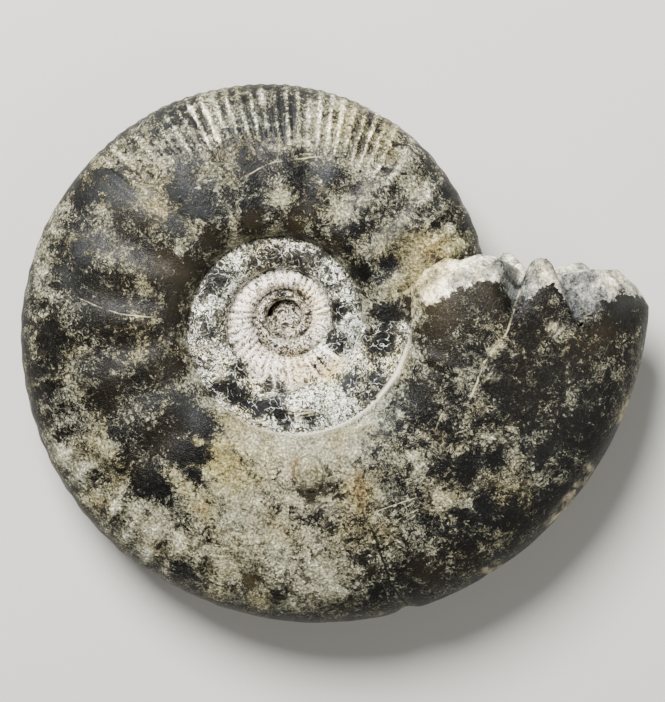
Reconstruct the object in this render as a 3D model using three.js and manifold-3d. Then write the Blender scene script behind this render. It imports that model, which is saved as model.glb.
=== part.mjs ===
// An ammonite fossil: the stone cast of a flat coiled shell, lying on its flank.
// Millimetres, +Z up. The origin is the middle of the resting box, on the surface that it lies on.
// The shell grew by one rule: a section that turns about the coil axis while it grows at a steady
// rate. Growth is that turn in degrees; it is 360 at the broken end and falls towards the middle.
// Each stretch of whorl is one closed solid, and all of them are joined into the one stone.
import * as THREE from "three";
import { mergeVertices } from "three/addons/utils/BufferGeometryUtils.js";
import Module from "manifold-3d";

// Driving dimensions of the last section, and how much each grows in a turn
const END_GROWTH = 360;
const VENTER_RADIUS = { last: 114, perTurn: 1.824 }; // outer edge, from the coil axis
const SEAM_RADIUS = { last: 38.5, perTurn: 1.68 }; // inner edge, where a whorl meets the one before
const HALF_THICKNESS = { last: 26, perTurn: 1.48 };
const UMBILICUS_SHIFT = { share: 0.03, towards: 260 }; // the middle sits a little off the axis

// Section: a wall rises from the seam to a rounded shoulder, then the flank falls to the venter.
// Across is the place between seam and venter, from 0 to 1.
const SHOULDER = 0.2;
const WALL_FOOT = 0.5; // share of the half thickness, hidden in the whorl before
const WALL_STEPS = 3;
const FLANK_STOPS = [0.2, 0.27, 0.35, 0.43, 0.51, 0.6, 0.68, 0.75, 0.84, 0.92, 0.97, 1];
const FLANK_POWER = 2.3;

// Stretches of whorl from the broken end inwards. Ribs have a crest and a trough step each.
const STRETCHES = [
  { to: 360, from: 258, steps: 12 },
  { to: 258, from: 198, ribs: 10, ribHeight: 0.8, ribsFrom: 0.6 },
  { to: 198, from: 144, steps: 6 },
  { to: 144, from: 54, ribs: 18, ribHeight: 0.7, ribsFrom: 0.55 },
  { to: 54, from: 0, steps: 6 },
  { to: 0, from: -180, steps: 15 },
  { to: -180, from: -340, steps: 14 },
  { to: -340, from: -520, ribs: 12, ribHeight: 0.5, ribsFrom: 0 },
  { to: -520, from: -700, ribs: 10, ribHeight: 0.35, ribsFrom: 0 },
  { to: -700, from: -880, steps: 10 },
  { to: -880, from: -1060, steps: 8 },
  { to: -1060, from: -1260, steps: 7 },
];
const RIB_FADE = { share: 0.6, starts: 0.88, ends: 1 }; // ribs flatten towards the venter
const FIRST_CHAMBER = { radius: 5.5, halfThickness: 2.8 }; // the knob at the middle of the coil
const PLUG = { turn: 3, share: 0.8 }; // each stretch reaches a little into the next

// Broad low folds across the flank of the last whorl
const FOLDS = { pitch: 18, height: 0.6, starts: [0, 40], ends: [220, 260] };

// Broken end: the last chamber wall, pillowed between narrow valleys, two on the upper flank and
// four on the lower. Each ring of the wall is a share of the section, and stands forward by the
// pillow's or the valley's distance.
const VALLEYS = {
  upper: [
    { across: 0.43, width: 0.045 },
    { across: 0.68, width: 0.055 },
  ],
  lower: [
    { across: 0.27, width: 0.045 },
    { across: 0.51, width: 0.045 },
    { across: 0.68, width: 0.045 },
    { across: 0.92, width: 0.045 },
  ],
};
const END_RINGS = [
  { share: 1, pillow: 8.5, valley: 1.5 },
  { share: 0.9, pillow: 14, valley: 4.5 },
  { share: 0.74, pillow: 18, valley: 8 },
  { share: 0.5, pillow: 16.5, valley: 12.5 },
  { share: 0.25, pillow: 15, valley: 14 },
  { share: 0, pillow: 14.5, valley: 14.5 },
];
const END_SLANT = 12; // further forward at the inner edge

// Rest: the coil leans a little, so that it lies on its shoulder all round, on worn flats
const LEAN = { degrees: 2, towards: 185 };
const WORN_DEPTH = 0.9;
const ROOM = 400; // a block that holds the whole stone

const wasm = await Module();
wasm.setup();

const radians = THREE.MathUtils.degToRad;
const { smoothstep } = THREE.MathUtils;

function grown(rule, growth) {
  return rule.last * rule.perTurn ** ((growth - END_GROWTH) / 360);
}

function seamRadius(growth) {
  const { share, towards } = UMBILICUS_SHIFT;
  return grown(SEAM_RADIUS, growth) * (1 + share * Math.cos(radians(growth - towards)));
}

// The section's outline, as shares of its height and half thickness: up one flank, down the other.
function sectionOutline() {
  const upper = [];
  for (let i = 0; i < WALL_STEPS; i++) {
    const t = (Math.PI / 2) * (i / WALL_STEPS);
    upper.push([SHOULDER * (1 - Math.cos(t)), WALL_FOOT + (1 - WALL_FOOT) * Math.sin(t)]);
  }
  for (const across of FLANK_STOPS) {
    const outward = (across - SHOULDER) / (1 - SHOULDER);
    upper.push([across, Math.sqrt(1 - outward ** FLANK_POWER)]);
  }
  const lower = upper
    .slice(0, -1)
    .reverse()
    .map(([across, up]) => [across, -up]);
  return [...upper, ...lower];
}

const outline = sectionOutline();

function ribs(stretch, growth, across) {
  if (!stretch.ribs) return 0;
  const along = (growth - stretch.from) / (stretch.to - stretch.from);
  const crest = -Math.cos(2 * Math.PI * stretch.ribs * along);
  const reach = stretch.ribsFrom ? smoothstep(across, stretch.ribsFrom, stretch.ribsFrom + 0.25) : 1;
  const fade = 1 - RIB_FADE.share * smoothstep(across, RIB_FADE.starts, RIB_FADE.ends);
  const shown = smoothstep(Math.sin(Math.PI * along), 0, 0.3);
  return stretch.ribHeight * reach * fade * crest * shown;
}

function folds(growth, across) {
  const along = smoothstep(growth, ...FOLDS.starts) * (1 - smoothstep(growth, ...FOLDS.ends));
  const wave = Math.cos((2 * Math.PI * growth) / FOLDS.pitch);
  return FOLDS.height * along * Math.sin(Math.PI * across) * wave;
}

// A point of a section. Share 1 is its outline, and share 0 is its middle.
function sectionPoint(growth, column, share, raised = 0, forward = 0) {
  const [across, up] = outline[column % outline.length];
  const inner = seamRadius(growth);
  const height = grown(VENTER_RADIUS, growth) - inner;
  const radius = inner + height * (0.5 + (across - 0.5) * share) + raised * across;
  const turn = radians(growth);
  return new THREE.Vector3(
    radius * Math.cos(turn) - forward * Math.sin(turn),
    radius * Math.sin(turn) + forward * Math.cos(turn),
    grown(HALF_THICKNESS, growth) * up * share + raised * up,
  );
}

// How far the chamber wall stands forward of the last section, on one ring of it.
function endForward(ring, column) {
  const [across, up] = outline[column % outline.length];
  const valleys = up < 0 ? VALLEYS.lower : VALLEYS.upper;
  const depths = valleys.map((v) => Math.exp(-(((across - v.across) / v.width) ** 2)));
  const valley = Math.max(...depths);
  const place = (across - 0.5) * ring.share;
  return ring.pillow + (ring.valley - ring.pillow) * valley - END_SLANT * place;
}

// A stretch of whorl as a closed solid: a ball whose rings are moved onto the sections.
function whorlSolid(stretch, broken) {
  const { from, to } = stretch;
  const steps = stretch.steps ?? stretch.ribs * 2;
  const rings = [(column) => sectionPoint(from, column, 0)];
  for (let i = 0; i <= steps; i++) {
    const growth = from + ((to - from) * i) / steps;
    rings.push((column) => {
      const across = outline[column % outline.length][0];
      const raised = ribs(stretch, growth, across) + folds(growth, across);
      return sectionPoint(growth, column, 1, raised);
    });
  }
  if (broken) {
    for (const ring of END_RINGS)
      rings.push((column) => sectionPoint(to, column, ring.share, 0, endForward(ring, column)));
  } else {
    rings.push((column) => sectionPoint(to + PLUG.turn, column, PLUG.share));
    rings.push((column) => sectionPoint(to + PLUG.turn, column, 0));
  }
  const columns = outline.length;
  const ball = new THREE.SphereGeometry(1, columns, rings.length - 1);
  const place = ball.getAttribute("position");
  for (let i = 0; i < place.count; i++) {
    const ring = rings.length - 1 - Math.floor(i / (columns + 1));
    const atPole = ring === 0 || ring === rings.length - 1;
    const point = rings[ring](atPole ? 0 : i % (columns + 1));
    place.setXYZ(i, point.x, point.y, point.z);
  }
  return toSolid(ball);
}

function toSolid(geometry) {
  const bare = geometry.clone();
  bare.deleteAttribute("normal");
  bare.deleteAttribute("uv");
  const merged = mergeVertices(bare, 1e-4);
  return new wasm.Manifold(
    new wasm.Mesh({
      numProp: 3,
      vertProperties: merged.getAttribute("position").array,
      triVerts: new Uint32Array(merged.index.array),
    }),
  );
}

function toGeometry(solid) {
  const mesh = solid.getMesh();
  return new THREE.BufferGeometry()
    .setAttribute("position", new THREE.BufferAttribute(mesh.vertProperties, 3))
    .setIndex(new THREE.BufferAttribute(mesh.triVerts, 1));
}

function firstChamber() {
  const { radius, halfThickness } = FIRST_CHAMBER;
  const ball = new THREE.SphereGeometry(radius, 12, 8);
  return toSolid(ball.scale(1, halfThickness / radius, 1).rotateX(Math.PI / 2));
}

function coil() {
  const whorls = STRETCHES.map((stretch, i) => whorlSolid(stretch, i === 0));
  return [...whorls, firstChamber()].reduce((joined, piece) => joined.add(piece));
}

// Leans the coil as it lies, sets it down, and wears flats where it touches.
function laidDown(solid) {
  const geometry = toGeometry(solid);
  const across = radians(LEAN.towards + 90);
  const axis = new THREE.Vector3(Math.cos(across), Math.sin(across), 0);
  geometry.applyMatrix4(new THREE.Matrix4().makeRotationAxis(axis, radians(LEAN.degrees)));
  geometry.computeBoundingBox();
  const { min, max } = geometry.boundingBox;
  geometry.translate(-(min.x + max.x) / 2, -(min.y + max.y) / 2, -min.z - WORN_DEPTH);
  const above = new THREE.BoxGeometry(ROOM, ROOM, ROOM).translate(0, 0, ROOM / 2);
  return toSolid(geometry).intersect(toSolid(above));
}

const ammonite = new THREE.Mesh(
  toGeometry(laidDown(coil())),
  new THREE.MeshStandardMaterial({ color: 0x6b6a5f, roughness: 0.5, metalness: 0 }),
);
ammonite.name = "ammonite";

const fossil = new THREE.Group();
fossil.add(ammonite);

export default fossil;
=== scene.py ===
"""Ammonite fossil: the looks of the stone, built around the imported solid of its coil.

Laid out as an add-on: the sizes and colours that a user would change are properties, one operator
grows and dresses the stone, and one sets the stage. Lengths are millimetres until MM turns them
into the frame's metres. The shell's own frame has the coil axis at its origin.
"""

import math

import bmesh
import bpy
import numpy as np
from mathutils import Matrix, Vector, kdtree, noise


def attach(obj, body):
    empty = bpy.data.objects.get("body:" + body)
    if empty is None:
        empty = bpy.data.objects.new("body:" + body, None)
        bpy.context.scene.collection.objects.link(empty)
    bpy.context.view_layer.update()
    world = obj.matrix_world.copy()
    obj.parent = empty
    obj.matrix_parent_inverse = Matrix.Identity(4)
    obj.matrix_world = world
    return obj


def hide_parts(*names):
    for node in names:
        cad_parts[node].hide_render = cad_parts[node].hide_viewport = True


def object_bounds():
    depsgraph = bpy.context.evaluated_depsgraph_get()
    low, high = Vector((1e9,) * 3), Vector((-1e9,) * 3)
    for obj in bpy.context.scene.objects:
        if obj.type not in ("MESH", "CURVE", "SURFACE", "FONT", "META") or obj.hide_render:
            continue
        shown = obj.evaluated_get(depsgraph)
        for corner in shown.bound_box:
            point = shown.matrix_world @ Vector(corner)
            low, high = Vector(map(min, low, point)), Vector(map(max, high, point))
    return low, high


bl_info = {
    "name": "Ammonite Fossil",
    "version": (1, 0, 0),
    "blender": (4, 5, 0),
    "location": "View3D > Sidebar > Ammonite",
    "description": "Grows the stone cast of a coiled shell and sets it on a pale floor",
    "category": "Object",
}

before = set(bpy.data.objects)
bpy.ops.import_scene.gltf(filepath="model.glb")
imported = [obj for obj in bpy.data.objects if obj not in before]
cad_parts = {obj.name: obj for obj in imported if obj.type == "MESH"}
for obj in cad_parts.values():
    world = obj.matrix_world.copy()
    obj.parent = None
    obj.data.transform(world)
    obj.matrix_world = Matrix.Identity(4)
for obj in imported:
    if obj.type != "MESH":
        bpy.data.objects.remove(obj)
CAD_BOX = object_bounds()
MM = 0.001


def named_rows(names, *rows):
    """Rows of numbers, each under its names."""
    return [dict(zip(names.split(), row)) for row in rows]


# The coil: the last section's sizes, and how much each grows in a turn, as in the solid.
# Growth is the turn in degrees: 360 at the broken end, falling towards the middle.
END_GROWTH = 360
VENTER_RADIUS = {"last": 114, "per_turn": 1.824}
SEAM_RADIUS = {"last": 38.5, "per_turn": 1.68}
HALF_THICKNESS = {"last": 26, "per_turn": 1.48}
UMBILICUS_SHIFT = {"share": 0.03, "towards": 260}
SHOULDER = 0.2
WALL_FOOT = 0.5
WALL_SHARE_OF_POINTS = 0.2
FLANK_POWER = 2.3
PLUG = {"turn": 3, "share": 0.8}
FIRST_CHAMBER = {"radius": 5.5, "half_thickness": 2.8, "segments": 40, "rows": 20}
LEAN = {"degrees": 2, "towards": 185}
WORN_DEPTH = 0.9

# The broken end: pillows of the chamber wall between its valleys, wide ones on the upper flank
# and four narrow ones on the lower. Each has its place across, its width and its share of depth.
VALLEYS = {
    "upper": [(0.42, 0.045, 1), (0.695, 0.045, 1), (0.745, 0.05, 0.75)],
    "lower": [(0.27, 0.045, 1), (0.51, 0.045, 1), (0.69, 0.045, 1), (0.92, 0.045, 1)],
}
VALLEY_SHOULDER = {"share": 0.12, "spread": 2}  # valleys open out into the pillows' round sides
END_SHARES = [1, 0.9, 0.74, 0.5, 0.25, 0]
PILLOW_FORWARD = [8.5, 14.5, 19, 17, 15, 14]
VALLEY_FORWARD = [1, 3.5, 7, 11.5, 13.5, 14]
END_SLANT = 10.5
END_RINGS = 26
MIDDLE_PILLOW = {"across": 0.58, "width": 0.1, "height": 1.6}  # stands out beyond the others
INNER_PILLOW = {"low": 3.2, "from": 0.08, "to": 0.24}  # and this one falls off to the inner edge
END_SMOOTHINGS = 1
REACH_TOLD = 30  # how far from the edge of the broken end a point still knows its distance
FLUTES = {"count": 15, "height": 0.4, "from": (0.6, 0.95)}  # only near the edge of the end

# Stretches of whorl from the broken end inwards, each as fine as the eye can follow it
STRETCHES = named_rows(
    "to from rings upper lower",
    (360, 180, 262, 86, 36),
    (180, 0, 262, 86, 36),
    (0, -180, 150, 58, 18),
    (-180, -360, 150, 52, 16),
    (-360, -540, 120, 44, 12),
    (-540, -720, 120, 36, 10),
    (-720, -900, 60, 26, 8),
    (-900, -1080, 50, 22, 8),
    (-1080, -1260, 40, 18, 6),
)

# Relief, by growth: where each set of ribs starts and ends, its pitch in degrees, its height, from
# what place across the flank it shows, how pale its crests are, worn and with a painted highlight,
# and how narrow they are
RIBS = named_rows(
    "from to pitch height across worn narrow",
    (10, 62, 6.2, 0.5, 0.55, 0.6, 3),
    (54, 124, 3.05, 0.6, 0.54, 1.1, 3),
    (116, 146, 3.05, 0.5, 0.58, 0.5, 3),
    (150, 200, 5.0, 0.35, 0.7, 0.25, 3),
    (192, 262, 5.6, 0.5, 0.62, 0.4, 3),
    (-560, -390, 8, 0.35, -1, 1.6, 0.5),
    (-760, -550, 9, 0.28, -1, 1.6, 0.5),
)
RIB_FADE = {"share": 0.6, "across": (0.88, 1)}  # ribs flatten towards the venter
RIB_ENDS = 8  # degrees in which a set of ribs comes in, and in which it goes
RIB_RISE = 0.2  # share of the flank in which a rib rises to its height
RIB_SLANT = 5  # degrees that a rib runs forward from the seam to the venter
RIB_UNEVEN = {"share": 0.25, "waves": (0.9, 0.37)}  # some ribs are lower than others
FOLDS = {"pitch": 18, "height": 0.6, "starts": (0, 40), "ends": (220, 260)}
# The knob is level to its crown and has rings to its shoulder, both as shares of its radius. It
# is on the whorl that comes after a growth of 200.
KNOB = {"middle": (8, -50), "radius": 6.6, "height": 3, "crown": 0.35, "rings": 3,
        "ring_height": 0.7, "shoulder": 0.7, "after": 200}

MARKS = ("growth", "across", "reach")  # what each point knows of its own place on the shell
SLIVER = 0.08  # points closer than this are one

# The patches and lines below are placed on a drawing of the upper flank, which shows it a little
# larger and further down than the shell's own frame
DRAWING = {"scale": 1.025, "shift": (0, -2.2)}

# Weathering: the size of each set of dents, and how deep it goes
DENTS = [{"size": 26, "depth": 0.35}, {"size": 8, "depth": 0.16}, {"size": 3.2, "depth": 0.07}]
HOLLOWS = [(-17, -86, 5.5, 1.2), (-63, -60, 4, 0.6), (-12, 3, 4, -0.3)]  # x, y, radius, depth
FOLD_LINE = {"half_width": 2.2, "height": 0.6, "ends": (-3, 3),
             "line": [(44, -12), (51, -15), (60, -19), (69, -20)]}
RIM_NOTCH = {"growth": 292, "width": 1.6, "depth": 1.4, "across": (0.82, 1)}

# Where the stone weathered pale: x, y, radius, strength, and how yellow where it is at all
PALE_PATCHES = [
    # the cream field below the umbilicus, white at its top
    (-20, -45, 8, 1.1, 1.7), (-17, -55, 8, 0.8, 0.9), (-36, -51, 3, 1.1, 0.9),
    (-32, -55.5, 3, 1, 0.9), (-27, -61, 5, 0.5, 0.8), (-28, -40.8, 1.6, 1, 0.8),
    (-29.5, -48, 1.3, 0.8, 0.8), (0, -41, 9, 1, 0.1), (15, -40, 8, 1, 0.3), (-12, -37, 5, 0.9),
    (26, -38, 5, 0.5, 0.2), (7, -51, 8, 0.7, 0.6), (8, -49, 4, 0.5, 0.5), (-4, -58, 11, 0.6, 0.5),
    (-15, -69, 10, 0.55, 0.3), (4, -70, 9, 0.5, 0.6), (14, -84, 8, 0.4, 0.2),
    (25, -90, 6, 0.4, 0.1), (3, -86, 7, 0.35, 0.2), (-20, -79, 6, 0.35, 0.1),
    (16, -58, 7, 0.4, 0.8), (22, -49, 6, 0.6, 0.5), (27, -56, 5, 0.8, 0.9), (24, -60, 3, 0.6, 0.9),
    (17, -42, 4, 0.3, 0.6),
    # the lower left rim, round to the bottom
    (-48, -66, 18, 0.25, 0.3), (-12, -84, 16, 0.25, 0.2), (14, -80, 14, 0.2, 0.3),
    (-72, -46, 6, 0.4, 0.3), (-67, -42, 7, 0.6, 0.3), (-56, -42, 5, 0.7, 0.2),
    (-66, -54, 7, 0.6, 0.4), (-53, -58, 6, 0.4, 0.3), (-45, -66, 8, 0.65, 0.4),
    (-36, -70, 8, 0.55, 0.3), (-45, -77, 6, 0.5, 0.1), (-30, -77, 5, 0.4, 0.2),
    (-17, -84, 4, 0.6, 0.6), (-25, -92, 5, 0.4, 0.3), (-8, -94, 7, 0.4, 0.4),
    (-61, -62, 5, 0.4, 0.8), (10, -91, 9, 0.5, 0.4), (36, -93, 4, 0.4, 0.1), (0, -78, 7, 0.3, 0.3),
    (20, -79, 7, 0.35, 0.4), (-10, -76, 7, 0.3, 0.2), (33, -76, 6, 0.3, 0.3),
    (-26, -87, 6, 0.4, 0.2),
    # the fan on the lower right, and the flank before it
    (50, -60, 6, 0.9, 0.4), (57, -57, 4, 0.5, 0.3), (39, -47, 8, 0.5, 0.5), (52, -42, 3, 0.5, 0.3),
    (45, -37, 3, 0.6, 0.2), (30, -66, 9, 0.4, 0.7), (46, -77, 2.5, 0.7, 0.2),
    (68, -75, 6, 0.35, 0.1),
    # tufts on the right flank
    (75, -38, 6, 0.3), (74, -53, 7, 0.4), (84, -52, 5, 0.3, 0.1), (65, -38, 6, 0.4, 0.6),
    (51, -28, 5, 0.4, 0.5), (63, -27, 4, 0.3, 0.5), (90, -24, 7, 0.4, 0.1),
    (104, -16, 7, 0.35, 0.2), (86, -4, 3.5, 0.7), (96, 0, 3, 0.5, 0.4), (66, -17, 3.5, 0.6, 0.2),
    (57, -6, 6, 0.3, 0.1), (67, -9, 3, 0.4, 0.8), (66, -11.5, 1.6, 1.3, 0.9),
    (68.5, -8.5, 1.4, 1.2, 0.9), (63, -15, 1.2, 1.1, 0.8), (45, -16, 4, 0.3, 0.2),
    (56, -18, 4, 0.35, 0.2),
    # the left rim
    (-79, 18, 4, 0.9, 0.4), (-80, 9, 5, 0.45, 0.4), (-76, 27, 4, 0.5, 0.3), (-80, -5, 6, 0.2, 0.1),
    (-73, 32, 4, 0.4, 0.4), (-61, 48, 3, 0.7, 0.4), (-54, 52, 4, 0.6, 0.8),
    # tufts on the left flank
    (-67, 25, 4, 0.45, 0.3), (-58, 33, 5, 0.5, 0.3), (-57, 24, 4, 0.3, 0.3), (-57, 16, 6, 0.3, 1),
    (-46, 12, 5, 0.25, 0.8), (-45, 6, 5, 0.3, 0.2), (-70, 4, 4, 0.4, 0.3), (-64, -8, 7, 0.4, 0.3),
    (-42, -8, 6, 0.3, 0.9), (-46, -15, 3, 0.4, 0.7), (-70, -24, 5, 0.4, 0.2),
    (-34, -24, 3, 0.4, 0.1), (-47, -33, 6, 0.25, 0.6), (-62, -34, 5, 0.3, 0.2),
    # the upper left
    (-49, 47, 5, 0.45, 0.4), (-44, 36, 7, 0.8, 0.7), (-36, 33, 4, 0.7, 0.6),
    (-28, 27, 4, 0.7, 0.6), (-34, 22, 5, 0.55, 0.7), (-40, 26, 4, 0.3, 0.6),
    (-44, 54, 6, 0.3, 0.3), (-37, 47, 5, 0.4, 0.3),
    # the ribbed top
    (-27, 55, 5, 0.5, 0.3), (-20, 60, 6, 0.5, 0.2), (-16, 50, 4, 0.5, 0.4),
    (-21, 44, 5, 0.55, 0.5), (-15, 41, 4, 0.6, 0.6), (-25, 66, 6, 0.5, 0.6), (-8, 66, 6, 0.4, 0.3),
    (3, 55, 6, 0.5, 0.5), (11, 62, 8, 0.6, 0.4), (19, 66, 7, 0.5, 0.7),
    # two tufts above the umbilicus, and the upper right up to the broken end
    (-1, 37, 4, 1, 0.5), (16, 33, 5, 0.8, 0.6), (-17, 31, 3, 0.4, 0.4), (11, 42, 2, 0.6, 0.1),
    (24, 46, 7, 0.6, 0.3), (20, 56, 6, 0.4, 0.1), (34, 56, 7, 0.55, 0.4), (30, 64, 5, 0.3, 0.7),
    (38, 46, 6, 0.5, 0.2), (47, 47, 5, 0.4, 0.1), (42, 37, 5, 0.5, 0.2), (36, 26, 6, 0.6, 0.5),
    (26, 20, 6, 0.6, 0.5), (27, 37, 5, 0.5, 0.4), (46, 22, 6, 0.7, 1.6), (55, 22, 5, 0.8, 1.2),
    (31, 6, 5, 0.5, 0.4), (44, 10, 7, 0.9, 1.5), (36, 8, 4, 0.9, 0.8), (39, 17, 5, 0.6, 0.9),
    (52, 15, 5, 0.4, 1.6), (62, 14, 4, 0.2, 2), (82, 14, 5, 0.2, 3), (105, 12, 5, 0.2, 2),
    (37, -31.5, 1.2, 1.5),
    # inside the umbilicus
    (-26, 1, 4, 0.7), (-29, -6, 2, 0.6), (-22, -15, 5, 0.8, 0.1), (-14, -9, 4, 0.6, 0.2),
    (-10, -20, 3, 0.8), (3, -18, 5, 0.7, 0.8), (14, -20, 3, 1, 1.4), (17, -17, 2.5, 0.9, 1.2),
    (15, -26, 3, 0.9, 0.7), (23, -15, 4, 0.7), (5, -27, 4, 0.6), (20, -29, 3, 0.5, 0.1),
    (-12, 4, 6, 0.5, 0.3), (-14, 16, 4, 0.4), (10, 2, 5, 0.5, 0.4), (20, 4, 2, 0.7),
    (34, -17, 4, 0.5), (37, -4, 2, 0.8, 0.1), (0, 11, 4, 0.8, 0.1), (0, -1, 5, 1.1),
    (-1, -9, 5, 0.5, 0.1), (23, -4, 2.5, 0.6),
]

# Where it stayed dark: x, y, radius, strength, and how brown where it is at all
DARK_PATCHES = [
    # the black lobes against the cream field
    (-28, -35, 3.2, 1.2), (-24, -37.5, 2, 1.1), (-27, -45, 2.6, 1.2), (-24, -46, 1.6, 1.1),
    (-31, -44, 3, 0.9), (-28, -51, 2.2, 1.2), (-26.5, -53.5, 1.4, 0.9), (-44, -55, 4, 1),
    (-39, -57.5, 3, 1.2), (-41, -61.5, 1.3, 1), (-37, -61.5, 1.3, 1), (-47.5, -54, 2, 0.8),
    (-32.5, -59, 1.4, 0.8), (-40, -44, 6, 0.2, 0.5), (-48, -47, 5, 0.3, 0.5),
    (-37, -36, 7, 0.2, 0.7),
    # round the knob
    (8.5, -57.5, 1.6, 1.3, 0.4), (12.5, -56, 1.6, 1.2, 0.4), (5, -56.5, 1.4, 1.3, 0.2),
    (2.6, -53.5, 1.3, 1.2), (14, -50, 1.2, 0.8, 0.4), (8, -46.5, 0.9, 0.8, 0.4),
    (-13.5, -46, 1, 1), (-14, -49, 1, 1), (-13, -53, 1, 0.6),
    # the left flank
    (-53, -2, 24, 0.15, 0.6), (-76, -14, 6, 0.5), (-78, -24, 6, 0.5), (-55, -23, 8, 0.3, 0.4),
    (-36, -16, 7, 0.3, 0.6), (-35, 2, 6, 0.5, 0.4), (-38, 16, 6, 0.5, 1), (-30, 12, 5, 0.7, 0.6),
    (-49, 29, 6, 0.35, 1), (-66, 13, 4, 0.5), (-74, -4, 3, 0.4), (-58, 5, 4, 0.3, 0.5),
    # the upper left, smooth and slaty
    (-52, 37, 5, 0.6), (-61, 40, 6, 0.5), (-34, 38, 5, 0.7), (-28, 33, 4, 0.8), (-64, 21, 4, 0.5),
    # above the umbilicus; the three at (-23, 23), (-10, 29) and (4, 27), along the top of the
    # umbilical wall, are painted shadow under its shoulder
    (-23, 23, 4, 0.8, 0.4), (-12, 47, 3.5, 0.8), (-10, 29, 4, 0.6, 0.8), (4, 27, 5, 0.7, 0.8),
    (-8, 36, 3, 0.5), (3, 44, 5, 0.6), (8, 33, 4, 0.5, 0.2), (13, 46, 3, 0.6),
    (16, 22, 3, 0.9, 0.4), (22, 13, 4, 0.8), (34, 16, 3, 0.6), (26, 28, 2.5, 0.3),
    # leaf-shaped gaps among the ribs
    (52, 37, 2.5, 0.8), (56, 28, 2.5, 0.8), (44, 46, 3, 0.5), (24, 53, 2.5, 0.6),
    (-17, 57, 3, 0.5), (-2, 60, 6, 0.5), (2, 66, 4, 0.4), (-40, 60, 4, 0.4),
    # the right flank
    (49, 4, 9, 0.7, 1.2), (64, 7, 6, 0.6, 0.7), (81, 5, 5, 0.8, 0.2), (108, 4, 6, 0.9, 0.1),
    (100, -7, 7, 0.5, 0.8), (50, -11, 6, 0.5, 0.4), (45, -23, 5, 0.6, 0.2), (44, -30, 5, 0.5),
    (73, -26, 7, 0.5), (84, -32, 6, 0.4), (98, -40, 8, 0.6), (57, -48, 5, 0.8), (49, -50, 3, 0.5),
    (66, -45, 4, 0.4), (80, -15, 20, 0.15, 0.8),
    # the lower right, to the bottom
    (65, -64, 6, 0.6), (76, -66, 6, 0.4), (57, -71, 4, 0.6), (88, -61, 5, 0.3),
    (46, -84, 7, 0.35, 0.9), (60, -80, 5, 0.3, 0.5), (27, -84, 5, 0.25, 0.8),
    (-3, -83, 4, 0.2, 0.4), (-12, -87, 3, 0.9, 1.5), (-30, -84, 5, 0.6), (-55, -68, 4, 0.35, 0.3),
    # inside the umbilicus: the second whorl, then its black crescent along the seam
    (-21, 11, 3, 1.2), (-25, 7.5, 1.8, 0.8), (-24, -6, 3.5, 1), (-15, -17.5, 2.2, 1.4),
    (-13, -20.5, 1.8, 1.4), (-22, -24, 1.8, 1.6), (-18, -24, 2.3, 1.6), (-16, -27, 2.5, 1.8),
    (-12.5, -27.5, 2.8, 1.8), (-6, -23.5, 2, 1.1), (-1.5, -23.5, 1.6, 1), (3.5, -23.5, 1.6, 0.9),
    (-3.5, -28, 2, 1), (-8, -31.5, 3, 1.3), (-2.5, -32, 2.5, 1.8), (0, -34.5, 2.5, 1.8),
    (7, -32, 1.6, 1.3), (7.5, -34.5, 2.5, 1.8), (11.5, -17, 3.2, 1.2), (17, -9, 3, 1),
    (16.5, 1, 2.4, 1.2), (16, -2, 2, 1), (33, 0, 3, 1.1), (32, -7, 3.5, 1.3), (26, -7, 3, 1),
    (28, -12, 3, 0.9), (29, -16, 2, 0.7), (20, -22.5, 2.6, 1.1), (30, -21, 4, 0.8),
    (25, -27, 2.5, 0.8), (-22, 0, 1.5, 0.8), (-27, 4, 1.5, 0.8), (-17, -11, 1.4, 0.8),
    (8, -24, 1.4, 0.9), (12, -28, 1.6, 0.7), (-5, 18, 4, 0.6, 0.2), (3, 17, 4, 0.6, 0.3),
    (10, 16, 3, 0.5, 0.4), (-12, 17, 4, 0.3, 0.2), (24, 13, 3, 1),
    # the black ring round the middle
    (-1.5, 5.5, 1.3, 1.3), (1, 6.2, 1.2, 1.3), (3.5, 5.5, 1.2, 1.3), (-3, 3, 1.1, 1),
    (3, 8.5, 1.2, 1.2), (6, 12, 1.8, 1.4), (-4.5, -3.5, 1.1, 1), (3, -6, 1, 1), (-8.5, -4, 1, 1.1),
    (-11, -3.5, 0.9, 1.4), (7, -1, 1, 1.1), (-9, 3, 1.2, 0.9), (6, 3.5, 1, 1.2),
    (-0.5, -6.2, 1, 1), (-5.5, 8, 1.1, 1.1), (-6.5, 0, 1, 1),
]

# Smooth blue-grey areas, where the fronds are faint
SLATE_PATCHES = [
    (-54, 38, 8, 1), (-34, 38, 6, 0.9), (-28, 33, 4, 0.8), (-12, 47, 4, 0.7), (-63, 21, 5, 0.8),
    (5, -53, 2.5, 0.7), (3, 63, 8, 0.5), (13, 46, 4, 0.8), (-29, -28, 6, 0.8), (108, 3, 5, 0.8),
    (96, 9, 5, 0.35), (27, -33, 5, 0.6), (40, -12, 4, 0.6), (-44, 58, 5, 0.4), (-70, 12, 4, 0.8),
    (-18, 60, 9, 0.6), (-38, 57, 7, 0.5), (20, 58, 6, 0.4), (45, 42, 8, 0.4), (20, -22, 3, 1),
    (30, -20, 5, 0.8), (26, -28, 3, 0.7), (-9, -32, 4, 0.7), (1, -1, 2.5, 0.8),
]

# Ochre stains
STAINS = [
    (-27, -12.5, 2, 0.9), (24.5, -56, 3.2, 1.2), (25, -62, 2.5, 0.8), (24, -51, 2.4, 1),
    (17, -39.5, 2.8, 0.9), (17, -46, 2, 0.6), (3.2, -47, 1.6, 1.5), (3.2, -50, 1.4, 1.2),
    (-26, -62, 2.2, 1), (47, 19, 4, 0.7), (-58, -63, 3, 0.5), (30, -50, 3, 0.5),
]

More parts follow.
